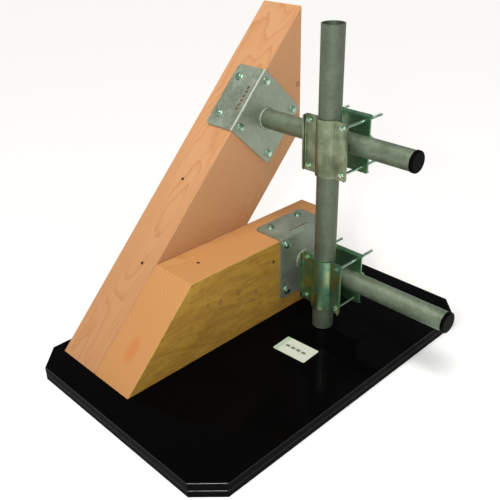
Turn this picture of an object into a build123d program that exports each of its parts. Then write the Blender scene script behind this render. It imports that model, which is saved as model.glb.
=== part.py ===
"""Demonstration stand for a mast clamp: a timber heel joint on a board, two bracket arms
screwed to the timber, and an upright mast tube held to both arms by cross clamps.

Frame: origin at the centre of the board's underside, +Z up, +X along the timber from the
rafter's foot to the tie's end, -Y from the timber towards the mast.
"""
from build123d import *
from math import atan, cos, degrees, radians, sin, tan
import os

# ---- driving dimensions (mm, degrees) ----
base_length = 842
base_width = 582
top_board = 18
lower_board = 16
base_corner = 52
base_edge_round = 3

heel_x = -361
layer_y = 139
timber_thickness = 120
rafter_pitch = 46
rafter_depth = 203
rafter_run = 652
tie_depth = 193
tie_run = 663
timber_arris = 1.5

arm_from_heel = 531
arm_radius = 22.25
arm_wall = 2.9
upper_arm_reach = 410
lower_arm_reach = 399
cap_lip = 1.2
cap_head = 8
cap_round = 3
cap_plug_length = 16
cap_plug_wall = 2
weld_leg = 5
weld_slope = 42

mast_radius = 24.15
mast_wall = 3.2
mast_length = 686
mast_above_board = 3
mast_from_layers = 229
tube_gap = 0.4

bracket_length = 158
bracket_side = 160
bracket_top = 85
bracket_plate = 5
bracket_corner = 9
bracket_bend = 6
side_screw_inset = 19
top_screw_inset = 31
top_screw_from_edge = 22
nail_hole_radius = 4
nail_hole_pitch = 11
nail_hole_count = 6
nail_row_from_bend = 19

front_saddle_length = 124
front_saddle_width = 116
rear_saddle_length = 120
rear_saddle_width = 128
saddle_plate = 4
saddle_ear = 8
saddle_lip = 10
saddle_corner = 7
saddle_bend = 2
bolt_rise = 100
bolt_span = 88
bolt_radius = 3
bolt_length = 130

washer_radius = 7
washer_thickness = 1.6
nut_height = 5
bolt_head_height = 4
bolt_hex_radius = 5.8

coach_screw_length = 60
coach_screw_radius = 4
coach_hex_radius = 7.5
coach_head_height = 5.5
coach_flange_radius = 9.5
coach_flange = 1.8
hex_draft = 4
screw_tip = 9
screw_point_radius = 0.4
pilot_extra = 2

wood_screw_radius = 3
wood_screw_head = 6
screw_slot = 1
screw_slot_depth = 1.5
heel_screw_length = 190
base_screw_length = 90
base_screw_from_end = 60

nail_radius = 2
nail_head_radius = 4
nail_head = 1
nail_length = 45
upper_nail_station = 467
lower_nail_station = 258
tie_nail_station = 432
tie_nail_height = 147
tie_top_nail_station = 257

label_length = 88
label_width = 55
label_thickness = 0.8
label_corner = 3
label_x = 5
label_y = -112
label_turn = 3

running = 0.06
hole_clearance = 0.5
seat_clearance = 0.05

# ---- places worked out from the dimensions ----
pitch = radians(rafter_pitch)
board_top = lower_board + top_board
rafter_base = rafter_depth / sin(pitch)
rafter_top = rafter_run * tan(pitch)
tie_bevel = tie_depth / tan(pitch)
arm_x = heel_x + arm_from_heel
mast_x = arm_x - arm_radius - mast_radius - tube_gap
mast_y = layer_y - mast_from_layers
mast_bottom = board_top + mast_above_board
lower_arm_z = board_top + tie_depth + bracket_plate - bracket_side / 2
arm_below_slope = bracket_side / 2 - bracket_plate
upper_arm_z = board_top + arm_from_heel * tan(pitch) - arm_below_slope / cos(pitch)
bracket_station = arm_from_heel / cos(pitch) - arm_below_slope * tan(pitch)

# Local planes.  Timber profiles are drawn with x along the tie and y up from the board.
profile_plane = Plane((heel_x, layer_y, board_top), x_dir=(1, 0, 0), z_dir=(0, -1, 0))
slope_plane = Plane(
    (heel_x, layer_y, board_top),
    x_dir=(cos(pitch), 0, sin(pitch)),
    z_dir=(-sin(pitch), 0, cos(pitch)),
)
tie_top_plane = Plane((heel_x, layer_y - timber_thickness, board_top + tie_depth))

os.makedirs("parts", exist_ok=True)


def save(builder, name):
    builder.part.label = name
    export_step(builder.part, f"parts/{name}.step")


def drill(plane, spots, radius, depth):
    """Cut round blind holes into the part being built, down from the plane."""
    with BuildSketch(plane) as holes:
        with Locations(*spots):
            Circle(radius)
    extrude(holes.sketch, amount=-depth, mode=Mode.SUBTRACT)


def ease_arrises():
    """Take the sharp sawn corners off the timber being built."""
    chamfer(edges(), timber_arris)


# ---- base: two boards of one outline ----
def base_layer(bottom, thickness):
    with BuildPart() as layer:
        with BuildSketch(Plane.XY.offset(bottom)) as outline:
            Rectangle(base_length, base_width)
            chamfer(outline.vertices(), base_corner)
        extrude(amount=thickness)
        fillet(layer.faces().sort_by(Axis.Z)[-1].edges(), base_edge_round)
        fillet(layer.faces().sort_by(Axis.Z)[0].edges(), base_edge_round / 3)
    return layer


tie_centre_y = layer_y - timber_thickness / 2
rafter_centre_y = layer_y + timber_thickness / 2
base_screw_spots = [
    (heel_x + tie_bevel, tie_centre_y),
    (heel_x + tie_run / 2, tie_centre_y),
    (heel_x + tie_run - base_screw_from_end, tie_centre_y),
    (heel_x + rafter_base * 0.3, rafter_centre_y),
    (heel_x + rafter_base * 0.75, rafter_centre_y),
]
underside = Plane((0, 0, 0), x_dir=(1, 0, 0), z_dir=(0, 0, -1))
underside_spots = [(x, -y) for x, y in base_screw_spots]

lower_layer = base_layer(0, lower_board)
with BuildPart(mode=Mode.PRIVATE) as base_screw_room:
    with BuildSketch(underside):
        with Locations(*underside_spots):
            Circle(wood_screw_head + seat_clearance)
    extrude(amount=-(wood_screw_head - wood_screw_radius), taper=45)
    with BuildSketch(underside):
        with Locations(*underside_spots):
            Circle(wood_screw_radius + seat_clearance)
    extrude(amount=-(base_screw_length + pilot_extra))

with BuildPart() as base_lower_board:
    add(lower_layer.part)
    add(base_screw_room.part, mode=Mode.SUBTRACT)
save(base_lower_board, "base_lower_board")

upper_layer = base_layer(lower_board, top_board)
with BuildPart() as base_top_board:
    add(upper_layer.part)
    add(base_screw_room.part, mode=Mode.SUBTRACT)
save(base_top_board, "base_top_board")

with BuildPart() as label_plate:
    with BuildSketch(Plane.XY.offset(board_top)):
        with Locations(Location((label_x, label_y), label_turn)):
            RectangleRounded(label_width, label_length, label_corner)
    extrude(amount=label_thickness)
save(label_plate, "label_plate")


# ---- bracket geometry, shared by both brackets ----
# A bracket's own plane: x along the timber, y across its top face away from the mast,
# z out of that face.  Its origin is on the timber's corner, level with the arm.
upper_seat = slope_plane.shift_origin(slope_plane.from_local_coords((bracket_station, 0, 0)))
lower_seat = tie_top_plane.shift_origin(tie_top_plane.from_local_coords((arm_from_heel, 0, 0)))


def side_plane(seat):
    """The timber's side face at the bracket: x along the timber, y up it, z towards the mast."""
    return Plane(seat.origin, x_dir=seat.x_dir, z_dir=-seat.y_dir)


side_reach = bracket_length / 2 - side_screw_inset
side_screw_spots = [
    (x, y)
    for x in (-side_reach, side_reach)
    for y in (bracket_plate - side_screw_inset, bracket_plate + side_screw_inset - bracket_side)
]
top_reach = bracket_length / 2 - top_screw_inset
top_screw_y = bracket_top - bracket_plate - top_screw_from_edge
top_screw_spots = [(-top_reach, top_screw_y), (top_reach, top_screw_y)]
coach_pilot = coach_screw_length - bracket_plate + pilot_extra


def drill_for_bracket(seat):
    """Pilot holes in the timber being built for one bracket's coach screws."""
    drill(seat, top_screw_spots, coach_screw_radius + seat_clearance, coach_pilot)
    drill(side_plane(seat), side_screw_spots, coach_screw_radius + seat_clearance, coach_pilot)


# ---- timber: sloping rafter behind, level tie in front, joined face to face ----
low_row = tie_depth / 4
high_row = tie_depth * 3 / 4
heel_screw_spots = [
    (rafter_base * 0.4, low_row),
    (rafter_base, low_row),
    (rafter_base * 0.8, high_row),
    (rafter_base * 1.25, high_row),
]
rear_face = Plane(
    (heel_x, layer_y + timber_thickness, board_top), x_dir=(-1, 0, 0), z_dir=(0, 1, 0)
)
rear_spots = [(-x, z) for x, z in heel_screw_spots]
with BuildPart(mode=Mode.PRIVATE) as heel_screw_room:
    with BuildSketch(rear_face):
        with Locations(*rear_spots):
            Circle(wood_screw_head + seat_clearance)
    extrude(amount=-(wood_screw_head - wood_screw_radius), taper=45)
    with BuildSketch(rear_face):
        with Locations(*rear_spots):
            Circle(wood_screw_radius + seat_clearance)
    extrude(amount=-(heel_screw_length + pilot_extra))

rafter_nail_spots = [
    (upper_nail_station, timber_thickness / 2),
    (lower_nail_station, timber_thickness / 3),
]
tie_nail_spots = [(tie_nail_station, tie_nail_height)]
tie_top_nail_spots = [(tie_top_nail_station, timber_thickness / 2)]
nail_pilot = nail_length + pilot_extra
near_face = Plane(
    (heel_x, layer_y - timber_thickness, board_top), x_dir=(1, 0, 0), z_dir=(0, -1, 0)
)

with BuildPart() as rafter:
    with BuildSketch(profile_plane):
        Polygon(
            (0, 0),
            (rafter_base, 0),
            (rafter_run, (rafter_run - rafter_base) * tan(pitch)),
            (rafter_run, rafter_top),
            align=None,
        )
    extrude(amount=-timber_thickness)
    ease_arrises()
    drill_for_bracket(upper_seat)
    drill(slope_plane, rafter_nail_spots, nail_head_radius + seat_clearance, nail_head)
    drill(slope_plane, rafter_nail_spots, nail_radius + seat_clearance, nail_pilot)
    add(base_screw_room.part, mode=Mode.SUBTRACT)
    add(heel_screw_room.part, mode=Mode.SUBTRACT)
save(rafter, "rafter")

with BuildPart() as tie_beam:
    with BuildSketch(profile_plane):
        Polygon(
            (0, 0),
            (tie_run, 0),
            (tie_run, tie_depth),
            (tie_bevel, tie_depth),
            align=None,
        )
    extrude(amount=timber_thickness)
    ease_arrises()
    drill_for_bracket(lower_seat)
    drill(near_face, tie_nail_spots, nail_head_radius + seat_clearance, nail_head)
    drill(near_face, tie_nail_spots, nail_radius + seat_clearance, nail_pilot)
    drill(tie_top_plane, tie_top_nail_spots, nail_head_radius + seat_clearance, nail_head)
    drill(tie_top_plane, tie_top_nail_spots, nail_radius + seat_clearance, nail_pilot)
    add(base_screw_room.part, mode=Mode.SUBTRACT)
    add(heel_screw_room.part, mode=Mode.SUBTRACT)
save(tie_beam, "tie_beam")


# ---- timber fasteners ----
def countersunk_screws(plane, spots, length):
    """Flat-headed wood screws driven down from the plane, each with a point."""
    shank = length - screw_tip
    tip_taper = degrees(atan((wood_screw_radius - screw_point_radius) / screw_tip))
    with BuildPart() as screws:
        with BuildSketch(plane):
            with Locations(*spots):
                Circle(wood_screw_head)
        extrude(amount=-(wood_screw_head - wood_screw_radius), taper=45)
        with BuildSketch(plane):
            with Locations(*spots):
                Circle(wood_screw_radius)
        extrude(amount=-shank)
        with BuildSketch(plane.offset(-shank)):
            with Locations(*spots):
                Circle(wood_screw_radius)
        extrude(amount=-screw_tip, taper=tip_taper)
        with BuildSketch(plane):
            with Locations(*spots):
                Rectangle(wood_screw_radius * 2, screw_slot)
                Rectangle(screw_slot, wood_screw_radius * 2)
        extrude(amount=-screw_slot_depth, mode=Mode.SUBTRACT)
    return screws


save(countersunk_screws(underside, underside_spots, base_screw_length), "base_screws")
save(countersunk_screws(rear_face, rear_spots, heel_screw_length), "heel_screws")

nail_sets = (
    (slope_plane, rafter_nail_spots),
    (near_face, tie_nail_spots),
    (tie_top_plane, tie_top_nail_spots),
)
with BuildPart() as face_nails:
    for nail_plane, nail_spots in nail_sets:
        with BuildSketch(nail_plane):
            with Locations(*nail_spots):
                Circle(nail_head_radius)
        extrude(amount=-nail_head)
        with BuildSketch(nail_plane.offset(-nail_head)):
            with Locations(*nail_spots):
                Circle(nail_radius)
        extrude(amount=-(nail_length - nail_head))
save(face_nails, "face_nails")


# ---- brackets: a bent plate, its coach screws, and an arm welded on square ----
def bracket_plate_part(seat):
    side = side_plane(seat)
    end = Plane(
        seat.from_local_coords((-bracket_length / 2, 0, 0)), x_dir=seat.y_dir, z_dir=seat.x_dir
    )
    top_edge = bracket_top - bracket_plate
    side_edge = bracket_plate - bracket_side
    with BuildPart() as plate:
        with BuildSketch(end) as section:
            Polygon(
                (-bracket_plate, bracket_plate),
                (-bracket_plate, side_edge),
                (0, side_edge),
                (0, 0),
                (top_edge, 0),
                (top_edge, bracket_plate),
                align=None,
            )
            fillet(section.vertices().group_by(Axis.Y)[-1].sort_by(Axis.X)[0], bracket_bend)
        extrude(amount=bracket_length)
        with BuildSketch(seat) as top_cut:
            with Locations((0, top_edge - bracket_corner)):
                Rectangle(bracket_length, bracket_corner * 2)
            with Locations((0, top_edge - bracket_corner * 2)):
                RectangleRounded(bracket_length, bracket_corner * 4, bracket_corner, mode=Mode.SUBTRACT)
        extrude(amount=bracket_plate, mode=Mode.SUBTRACT)
        with BuildSketch(side) as side_cut:
            with Locations((0, side_edge + bracket_corner)):
                Rectangle(bracket_length, bracket_corner * 2)
            with Locations((0, side_edge + bracket_corner * 2)):
                RectangleRounded(bracket_length, bracket_corner * 4, bracket_corner, mode=Mode.SUBTRACT)
        extrude(amount=bracket_plate, mode=Mode.SUBTRACT)
        with BuildSketch(seat) as top_holes:
            with Locations(*top_screw_spots):
                Circle(coach_screw_radius + hole_clearance)
            with Locations((0, nail_row_from_bend - bracket_plate)):
                with GridLocations(nail_hole_pitch, 1, nail_hole_count, 1):
                    Circle(nail_hole_radius)
        extrude(amount=bracket_plate, mode=Mode.SUBTRACT)
        with BuildSketch(side) as side_holes:
            with Locations(*side_screw_spots):
                Circle(coach_screw_radius + hole_clearance)
        extrude(amount=bracket_plate, mode=Mode.SUBTRACT)
    return plate


def coach_screws(seat):
    """Six hex-headed screws of one bracket, seated on the outside of its plate."""
    shank = coach_screw_length - screw_tip
    tip_taper = degrees(atan((coach_screw_radius - screw_point_radius) / screw_tip))
    with BuildPart() as screws:
        for face, spots in ((seat, top_screw_spots), (side_plane(seat), side_screw_spots)):
            head_seat = face.offset(bracket_plate)
            with BuildSketch(head_seat):
                with Locations(*spots):
                    Circle(coach_flange_radius)
            extrude(amount=coach_flange)
            with BuildSketch(head_seat.offset(coach_flange)):
                with Locations(*spots):
                    RegularPolygon(coach_hex_radius, 6)
            extrude(amount=coach_head_height, taper=hex_draft)
            with BuildSketch(head_seat):
                with Locations(*spots):
                    Circle(coach_screw_radius)
            extrude(amount=-shank)
            with BuildSketch(head_seat.offset(-shank)):
                with Locations(*spots):
                    Circle(coach_screw_radius)
            extrude(amount=-screw_tip, taper=tip_taper)
    return screws


def arm_parts(seat, reach):
    """Arm tube, its weld bead and its end cap, standing square off the bracket's side plate."""
    root = Plane(
        seat.from_local_coords((0, -bracket_plate, bracket_plate - bracket_side / 2)),
        x_dir=(1, 0, 0),
        z_dir=(0, -1, 0),
    )
    bore = arm_radius - arm_wall
    tube_length = reach - cap_head
    with BuildPart() as tube:
        with BuildSketch(root):
            Circle(arm_radius)
            Circle(bore, mode=Mode.SUBTRACT)
        extrude(amount=tube_length)
    with BuildPart() as weld:
        with BuildSketch(root):
            Circle(arm_radius + weld_leg)
        extrude(amount=weld_leg, taper=weld_slope)
        with BuildSketch(root):
            Circle(arm_radius + seat_clearance)
        extrude(amount=weld_leg, mode=Mode.SUBTRACT)
    with BuildPart() as cap:
        with BuildSketch(root.offset(tube_length)):
            Circle(arm_radius + cap_lip)
        extrude(amount=cap_head)
        fillet(cap.faces().sort_by(Axis.Y)[0].edges(), cap_round)
        with BuildSketch(root.offset(tube_length)):
            Circle(bore - seat_clearance)
        extrude(amount=-cap_plug_length)
        with BuildSketch(root.offset(tube_length - cap_plug_length)):
            Circle(bore - cap_plug_wall)
        extrude(amount=cap_plug_length, mode=Mode.SUBTRACT)
    return tube, weld, cap


arms = (("upper", upper_seat, upper_arm_reach), ("lower", lower_seat, lower_arm_reach))
for level, seat, reach in arms:
    save(bracket_plate_part(seat), f"{level}_bracket_plate")
    save(coach_screws(seat), f"{level}_bracket_screws")
    arm_tube, arm_weld, arm_cap = arm_parts(seat, reach)
    save(arm_tube, f"{level}_arm_tube")
    save(arm_weld, f"{level}_arm_weld")
    save(arm_cap, f"{level}_arm_cap")

# ---- mast: open tube, clamped in front of both arms ----
with BuildPart() as mast_tube:
    with BuildSketch(Plane((mast_x, mast_y, mast_bottom))):
        Circle(mast_radius)
        Circle(mast_radius - mast_wall, mode=Mode.SUBTRACT)
    extrude(amount=mast_length)
save(mast_tube, "mast_tube")


# ---- cross clamps: two pressed saddles at right angles, drawn together by four bolts ----
def saddle(origin, outward, along, tube_radius, plate_size, bolt_grid):
    """Pressed plate hooked round one tube: a trough between two flat ears with turned lips.

    plate_size and bolt_grid are each given along the tube, then across it.
    """
    plate_length, plate_width = plate_size
    across = Plane(origin, x_dir=outward, z_dir=along)
    trough = tube_radius + running
    ear_width = plate_width / 2
    ear_outside = saddle_ear + saddle_plate
    near_ear_face = (ear_outside - running, ear_outside + running)
    with BuildPart() as plate:
        with BuildSketch(across) as section:
            with Locations((trough / 2 + saddle_ear + saddle_plate / 2, 0)):
                Rectangle(trough + saddle_plate, (trough + saddle_plate) * 2)
            Circle(trough + saddle_plate, mode=Mode.INTERSECT)
            with Locations(((saddle_ear + ear_outside) / 2, 0)):
                Rectangle(saddle_plate, plate_width)
            for edge in (-1, 1):
                with Locations((saddle_ear + saddle_lip / 2, edge * (ear_width - saddle_plate / 2))):
                    Rectangle(saddle_lip, saddle_plate)
            Circle(trough, mode=Mode.SUBTRACT)
            fillet(section.vertices().group_by(Axis.X)[0], saddle_bend + saddle_plate)
            fillet(section.vertices().filter_by_position(Axis.X, *near_ear_face), saddle_bend)
        extrude(amount=plate_length / 2, both=True)
        with BuildSketch(Plane(origin, x_dir=along, z_dir=outward)) as outline:
            Rectangle(plate_length * 2, plate_width * 2)
            RectangleRounded(plate_length, plate_width, saddle_corner, mode=Mode.SUBTRACT)
        extrude(amount=mast_radius * 2, mode=Mode.SUBTRACT)
        with BuildSketch(Plane(origin, x_dir=along, z_dir=outward)) as bolt_holes:
            with GridLocations(*bolt_grid, 2, 2):
                Circle(bolt_radius + hole_clearance)
        extrude(amount=ear_outside, mode=Mode.SUBTRACT)
    return plate


def hex_ring(plane, spots, height, hole):
    """Hexagonal nuts (hole > 0) or bolt heads standing on the plane."""
    with BuildSketch(plane) as hexes:
        with Locations(*spots):
            RegularPolygon(bolt_hex_radius, 6)
            if hole:
                Circle(hole, mode=Mode.SUBTRACT)
    extrude(hexes.sketch, amount=height)


ear_face = saddle_ear + saddle_plate
front_size = (front_saddle_length, front_saddle_width)
rear_size = (rear_saddle_length, rear_saddle_width)
for level, arm_z in (("upper", upper_arm_z), ("lower", lower_arm_z)):
    front_centre = (mast_x, mast_y, arm_z)
    rear_centre = (arm_x, mast_y, arm_z)
    front_grid, rear_grid = (bolt_rise, bolt_span), (bolt_span, bolt_rise)
    front_saddle = saddle(front_centre, (-1, 0, 0), (0, 0, 1), mast_radius, front_size, front_grid)
    save(front_saddle, f"{level}_front_saddle")
    rear_saddle = saddle(rear_centre, (1, 0, 0), (0, 1, 0), arm_radius, rear_size, rear_grid)
    save(rear_saddle, f"{level}_rear_saddle")

    front_face = Plane((mast_x - ear_face, mast_y, arm_z), x_dir=(0, 0, 1), z_dir=(-1, 0, 0))
    rear_ear_face = Plane((arm_x + ear_face, mast_y, arm_z), x_dir=(0, 0, 1), z_dir=(1, 0, 0))
    corners = [(u, v) for u in (-bolt_rise / 2, bolt_rise / 2) for v in (-bolt_span / 2, bolt_span / 2)]

    with BuildPart() as washers:
        for face in (front_face, rear_ear_face):
            with BuildSketch(face):
                with Locations(*corners):
                    Circle(washer_radius)
                    Circle(bolt_radius + hole_clearance, mode=Mode.SUBTRACT)
            extrude(amount=washer_thickness)
    save(washers, f"{level}_clamp_washers")

    with BuildPart() as bolts:
        hex_ring(front_face.offset(washer_thickness), corners, bolt_head_height, 0)
        with BuildSketch(front_face.offset(washer_thickness)):
            with Locations(*corners):
                Circle(bolt_radius)
        extrude(amount=-bolt_length)
        chamfer(bolts.faces().sort_by(Axis.X)[-4:].edges(), bolt_radius / 4)
    save(bolts, f"{level}_clamp_bolts")

    with BuildPart() as nuts:
        nut_hole = bolt_radius + seat_clearance
        hex_ring(rear_ear_face.offset(washer_thickness), corners, nut_height, nut_hole)
    save(nuts, f"{level}_clamp_nuts")
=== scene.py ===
"""Looks for the mast clamp demonstration stand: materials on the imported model, and finer
fasteners, weld beads and label in place of the plain ones.  Metres, in the model's frame."""
from math import atan2, cos, pi, radians, sin, tan

import bmesh
import bpy
from mathutils import Matrix, Vector


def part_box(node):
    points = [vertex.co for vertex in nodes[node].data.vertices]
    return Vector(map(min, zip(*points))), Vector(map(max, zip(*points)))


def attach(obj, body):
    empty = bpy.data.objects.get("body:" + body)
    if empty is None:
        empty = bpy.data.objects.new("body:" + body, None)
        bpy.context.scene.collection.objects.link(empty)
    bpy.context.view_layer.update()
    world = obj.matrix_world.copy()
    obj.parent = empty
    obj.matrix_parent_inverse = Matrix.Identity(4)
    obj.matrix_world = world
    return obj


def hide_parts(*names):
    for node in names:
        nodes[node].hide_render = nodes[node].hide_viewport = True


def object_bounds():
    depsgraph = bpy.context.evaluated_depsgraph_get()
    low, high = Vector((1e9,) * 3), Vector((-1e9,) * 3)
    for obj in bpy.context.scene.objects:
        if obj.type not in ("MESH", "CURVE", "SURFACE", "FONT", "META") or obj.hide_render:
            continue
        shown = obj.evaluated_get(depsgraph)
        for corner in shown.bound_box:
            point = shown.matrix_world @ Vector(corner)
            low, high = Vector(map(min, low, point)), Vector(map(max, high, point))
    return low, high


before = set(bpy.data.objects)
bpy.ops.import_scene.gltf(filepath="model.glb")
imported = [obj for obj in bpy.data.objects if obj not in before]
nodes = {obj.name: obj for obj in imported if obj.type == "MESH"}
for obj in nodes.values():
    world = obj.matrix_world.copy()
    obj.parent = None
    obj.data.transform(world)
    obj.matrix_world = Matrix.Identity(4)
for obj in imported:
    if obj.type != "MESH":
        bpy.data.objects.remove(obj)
cad_low, cad_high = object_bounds()
scene = bpy.context.scene
MM = 0.001
SMOOTH = {"interpolation_type": "SMOOTHSTEP"}
COLOURS = {"data_type": "RGBA"}


# ---------------------------------------------------------------- small tools
def linear(colour):
    """An sRGB hex colour as linear RGBA."""
    channels = [int(colour[i : i + 2], 16) / 255 for i in (1, 3, 5)]
    curve = [c / 12.92 if c <= 0.04045 else ((c + 0.055) / 1.055) ** 2.4 for c in channels]
    return (*curve, 1.0)


def feed(tree, node, links):
    """Sets a node's sockets, each to a value or to what feeds it."""
    for socket, value in links.items():
        if isinstance(value, bpy.types.Node):
            value = next(output for output in value.outputs if output.enabled)
        if isinstance(value, bpy.types.NodeSocket):
            tree.links.new(value, node.inputs[socket])
        else:
            node.inputs[socket].default_value = value


def add(tree, kind, links=None, stops=(), **settings):
    """Adds a node with its settings, its sockets' links and a colour ramp's stops."""
    made = tree.nodes.new(kind)
    for name, value in settings.items():
        setattr(made, name, value)
    for index, (position, colour) in enumerate(stops):
        elements = made.color_ramp.elements
        element = elements[index] if index < len(elements) else elements.new(position)
        element.position = position
        element.color = linear(colour)
    feed(tree, made, links or {})
    return made


def blank_material(name):
    """A material with only its shader: returns material, tree, shader and Object coordinates."""
    made = bpy.data.materials.new(name)
    made.use_nodes = True
    tree = made.node_tree
    tree.nodes.clear()
    shader = add(tree, "ShaderNodeBsdfPrincipled")
    output = add(tree, "ShaderNodeOutputMaterial")
    tree.links.new(shader.outputs[0], output.inputs[0])
    place = add(tree, "ShaderNodeTexCoord").outputs["Object"]
    return made, tree, shader, place


def new_mesh(name, material, build):
    """A mesh object filled by build(bmesh), shaded by one material."""
    shape = bmesh.new()
    build(shape)
    data = bpy.data.meshes.new(name)
    shape.to_mesh(data)
    shape.free()
    made = bpy.data.objects.new(name, data)
    scene.collection.objects.link(made)
    data.materials.append(material)
    return made


def paint(material, *names):
    """Gives CAD nodes their material."""
    for name in names:
        slots = nodes[name].data.materials
        slots.clear()
        slots.append(material)


# ---------------------------------------------------------------- materials
def planed_spruce(name, turn, pith, tone, knots, seam, resin=(), near_face_shading=0.0):
    """Spruce, planed and left bare: warm pale early wood between thin darker late-wood lines,
    knots with the grain flowing round them, and duller, darker end grain.

    turn is the grain's angle from X about Y, pith the log's centre in the turned section (y, z),
    tone the (light, middle, dark) colours, knots (x, z, radius) and resin patches (x, y, z,
    length, width) in turned metres, seam the y of the face that meets the other timber."""
    ring_width = 5.5 * MM
    # real fibres are far finer than this, and are drawn as coarse as they need to be to show
    fibre_width = 1.1 * MM
    made, tree, shader, place = blank_material(name)
    turned = add(tree, "ShaderNodeMapping", {0: place, "Rotation": (0, turn, 0)}, vector_type="POINT")
    axes = add(tree, "ShaderNodeSeparateXYZ", {0: turned})

    # slow wander of the log's centre, so that the rings run out on the faces
    wander_place = add(
        tree, "ShaderNodeVectorMath", {0: turned, 1: (0.9, 4.0, 4.0)}, operation="MULTIPLY"
    )
    wander = add(
        tree, "ShaderNodeTexNoise", {"Vector": wander_place, "Scale": 1 / (620 * MM), "Detail": 2.0}
    )
    wander_parts = add(tree, "ShaderNodeSeparateColor", {0: wander.outputs["Color"]})
    across = []
    for axis, part, offset in (("Y", 0, pith[0]), ("Z", 1, pith[1])):
        push = add(
            tree,
            "ShaderNodeMath",
            {0: wander_parts.outputs[part], 1: 0.11, 2: -offset - 0.055},
            operation="MULTIPLY_ADD",
        )
        across.append(add(tree, "ShaderNodeMath", {0: axes.outputs[axis], 1: push}, operation="ADD"))
    section = add(tree, "ShaderNodeCombineXYZ", {"Y": across[0], "Z": across[1]})
    from_pith = add(tree, "ShaderNodeVectorMath", {0: section}, operation="LENGTH")
    radius = from_pith.outputs["Value"]

    # knots: dark discs with a bark ring, and rings pushed aside around them
    knot_mask = None
    knot_edge = None
    for knot_x, knot_z, knot_radius in knots:
        spot = add(tree, "ShaderNodeCombineXYZ", {"X": axes.outputs["X"], "Z": axes.outputs["Z"]})
        distance = add(
            tree, "ShaderNodeVectorMath", {0: spot, 1: (knot_x, 0, knot_z)}, operation="DISTANCE"
        )
        away = distance.outputs["Value"]
        push = add(
            tree,
            "ShaderNodeMapRange",
            {0: away, 1: knot_radius * 0.6, 2: knot_radius * 3.5, 3: knot_radius * 1.2, 4: 0.0},
            **SMOOTH,
        )
        radius = add(tree, "ShaderNodeMath", {0: radius, 1: push}, operation="ADD")
        inside = add(
            tree,
            "ShaderNodeMapRange",
            {0: away, 1: knot_radius * 0.82, 2: knot_radius * 1.12, 3: 1.0, 4: 0.0},
            **SMOOTH,
        )
        rim = add(
            tree, "ShaderNodeMath", {0: away, 1: knot_radius, 2: knot_radius * 0.2}, operation="COMPARE"
        )
        if knot_mask is None:
            knot_mask, knot_edge = inside, rim
        else:
            knot_mask = add(tree, "ShaderNodeMath", {0: knot_mask, 1: inside}, operation="MAXIMUM")
            knot_edge = add(tree, "ShaderNodeMath", {0: knot_edge, 1: rim}, operation="MAXIMUM")

    ripple = add(tree, "ShaderNodeTexNoise", {"Vector": turned, "Scale": 1 / (45 * MM), "Detail": 3.0})
    wavy = add(
        tree,
        "ShaderNodeMath",
        {0: ripple.outputs[0], 1: ring_width * 1.1, 2: radius},
        operation="MULTIPLY_ADD",
    )
    turns = add(tree, "ShaderNodeMath", {0: wavy, 1: ring_width}, operation="DIVIDE")
    ring = add(tree, "ShaderNodeMath", {0: turns}, operation="FRACT")
    ring_number = add(tree, "ShaderNodeMath", {0: turns}, operation="FLOOR")
    year = add(tree, "ShaderNodeTexWhiteNoise", {"W": ring_number}, noise_dimensions="1D")

    # early wood rises slowly to a late-wood line, then drops at once to the next year
    light, middle, dark = tone
    ring_colour = add(
        tree,
        "ShaderNodeValToRGB",
        {0: ring},
        stops=[(0.0, light), (0.45, light), (0.8, middle), (0.93, dark), (1.0, light)],
    )
    late = add(tree, "ShaderNodeMapRange", {0: ring, 1: 0.55, 2: 0.92}, **SMOOTH)

    # fibres: long thin streaks along the grain
    fibre_place = add(
        tree, "ShaderNodeVectorMath", {0: turned, 1: (0.045, 1.0, 1.0)}, operation="MULTIPLY"
    )
    fibres = add(
        tree,
        "ShaderNodeTexNoise",
        {"Vector": fibre_place, "Scale": 1 / fibre_width / 2, "Detail": 4.0, "Roughness": 0.65},
    )
    cloud_place = add(
        tree, "ShaderNodeVectorMath", {0: turned, 1: (0.35, 1.0, 1.0)}, operation="MULTIPLY"
    )
    clouds = add(
        tree, "ShaderNodeTexNoise", {"Vector": cloud_place, "Scale": 1 / (140 * MM), "Detail": 3.0}
    )

    year_tint = add(
        tree, "ShaderNodeMapRange", {0: year.outputs["Value"], 1: 0.0, 2: 1.0, 3: 0.0, 4: 0.3}, **SMOOTH
    )
    colour = add(tree, "ShaderNodeMix", {0: year_tint, 6: ring_colour, 7: linear(middle)}, **COLOURS)
    streak = add(
        tree, "ShaderNodeMapRange", {0: fibres.outputs[0], 1: 0.42, 2: 0.72, 3: 0.0, 4: 0.34}, **SMOOTH
    )
    colour = add(tree, "ShaderNodeMix", {0: streak, 6: colour, 7: linear(middle)}, **COLOURS)
    cloud = add(
        tree, "ShaderNodeMapRange", {0: clouds.outputs[0], 1: 0.35, 2: 0.75, 3: 0.0, 4: 0.45}, **SMOOTH
    )
    colour = add(tree, "ShaderNodeMix", {0: cloud, 6: colour, 7: linear(middle)}, **COLOURS)

    # end grain drinks light: darker and duller where the face is square to the grain
    facing = add(tree, "ShaderNodeNewGeometry")
    along = add(
        tree,
        "ShaderNodeVectorMath",
        {0: facing.outputs["Normal"], 1: (cos(turn), 0, sin(turn))},
        operation="DOT_PRODUCT",
    )
    end_on = add(tree, "ShaderNodeMath", {0: along.outputs["Value"]}, operation="ABSOLUTE")
    end_grain = add(tree, "ShaderNodeMapRange", {0: end_on, 1: 0.5, 2: 0.95, 3: 0.0, 4: 0.55}, **SMOOTH)
    colour = add(tree, "ShaderNodeMix", {0: end_grain, 6: colour, 7: linear(dark)}, **COLOURS)
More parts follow.
